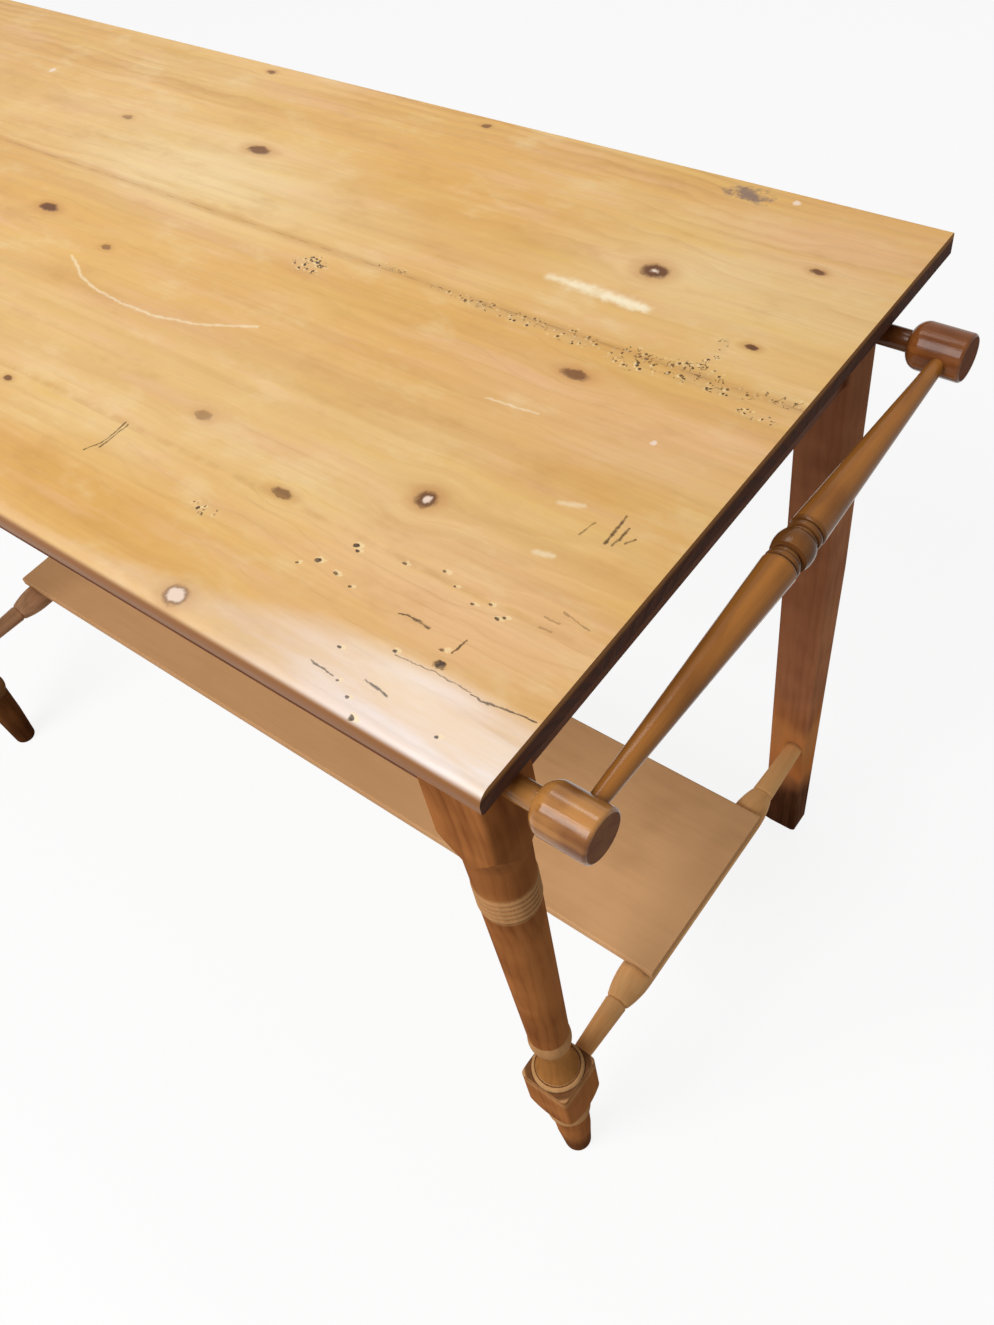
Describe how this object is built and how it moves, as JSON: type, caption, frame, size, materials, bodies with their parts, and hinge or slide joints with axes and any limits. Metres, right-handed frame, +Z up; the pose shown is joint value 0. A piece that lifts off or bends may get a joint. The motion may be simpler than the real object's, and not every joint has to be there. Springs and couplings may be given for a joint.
{
  "type": "kitchen side table",
  "caption": "Pine side table with a planked top, turned front legs, plain tapered back legs, a low shelf on turned stretchers and a towel rail on turned arms at one end.",
  "frame": {"origin": "on the floor under the middle of the table's overall box, towel arms included", "axes": "+X along the top towards the towel rail end, +Y from the turned front legs to the back, +Z up"},
  "size_m": [1.277, 0.584, 0.76],
  "materials": {
    "top_pine": "waxed, worn",
    "shelf_pine": "waxed",
    "leg_wood": "stained and varnished",
    "rail_wood": "stained, polished by use",
    "apron_wood": "stained",
    "dowel_wood": "bare",
    "screw_steel": "dull steel"
  },
  "bodies": {
    "table": {"top_board_front": "top_pine", "top_board_middle": "top_pine", "top_board_back": "top_pine", "shelf": "shelf_pine", "leg_front_right": "leg_wood", "leg_front_left": "leg_wood", "leg_back_right": "leg_wood", "leg_back_left": "leg_wood", "stretcher_right": "leg_wood", "stretcher_left": "leg_wood", "towel_arm_front": "rail_wood", "towel_arm_back": "rail_wood", "apron_front": "apron_wood", "apron_back": "apron_wood", "apron_end_right": "apron_wood", "apron_end_left": "apron_wood", "glue_block_front_left": "apron_wood", "glue_block_front_right": "apron_wood", "glue_block_back_left": "apron_wood", "glue_block_back_right": "apron_wood", "glue_block_end_left": "apron_wood", "glue_block_end_right": "apron_wood", "top_dowels": "dowel_wood", "top_screws": "screw_steel", "shelf_screws": "screw_steel"},
    "rail": {"towel_rail": "rail_wood"}
  },
  "joints": [
    {"name": "towel_rail_turn", "type": "hinge", "parent": "table", "child": "rail", "pos_m": [0.622, -0.029, 0.726], "axis": [0, 1, 0], "continuous": true}
  ]
}
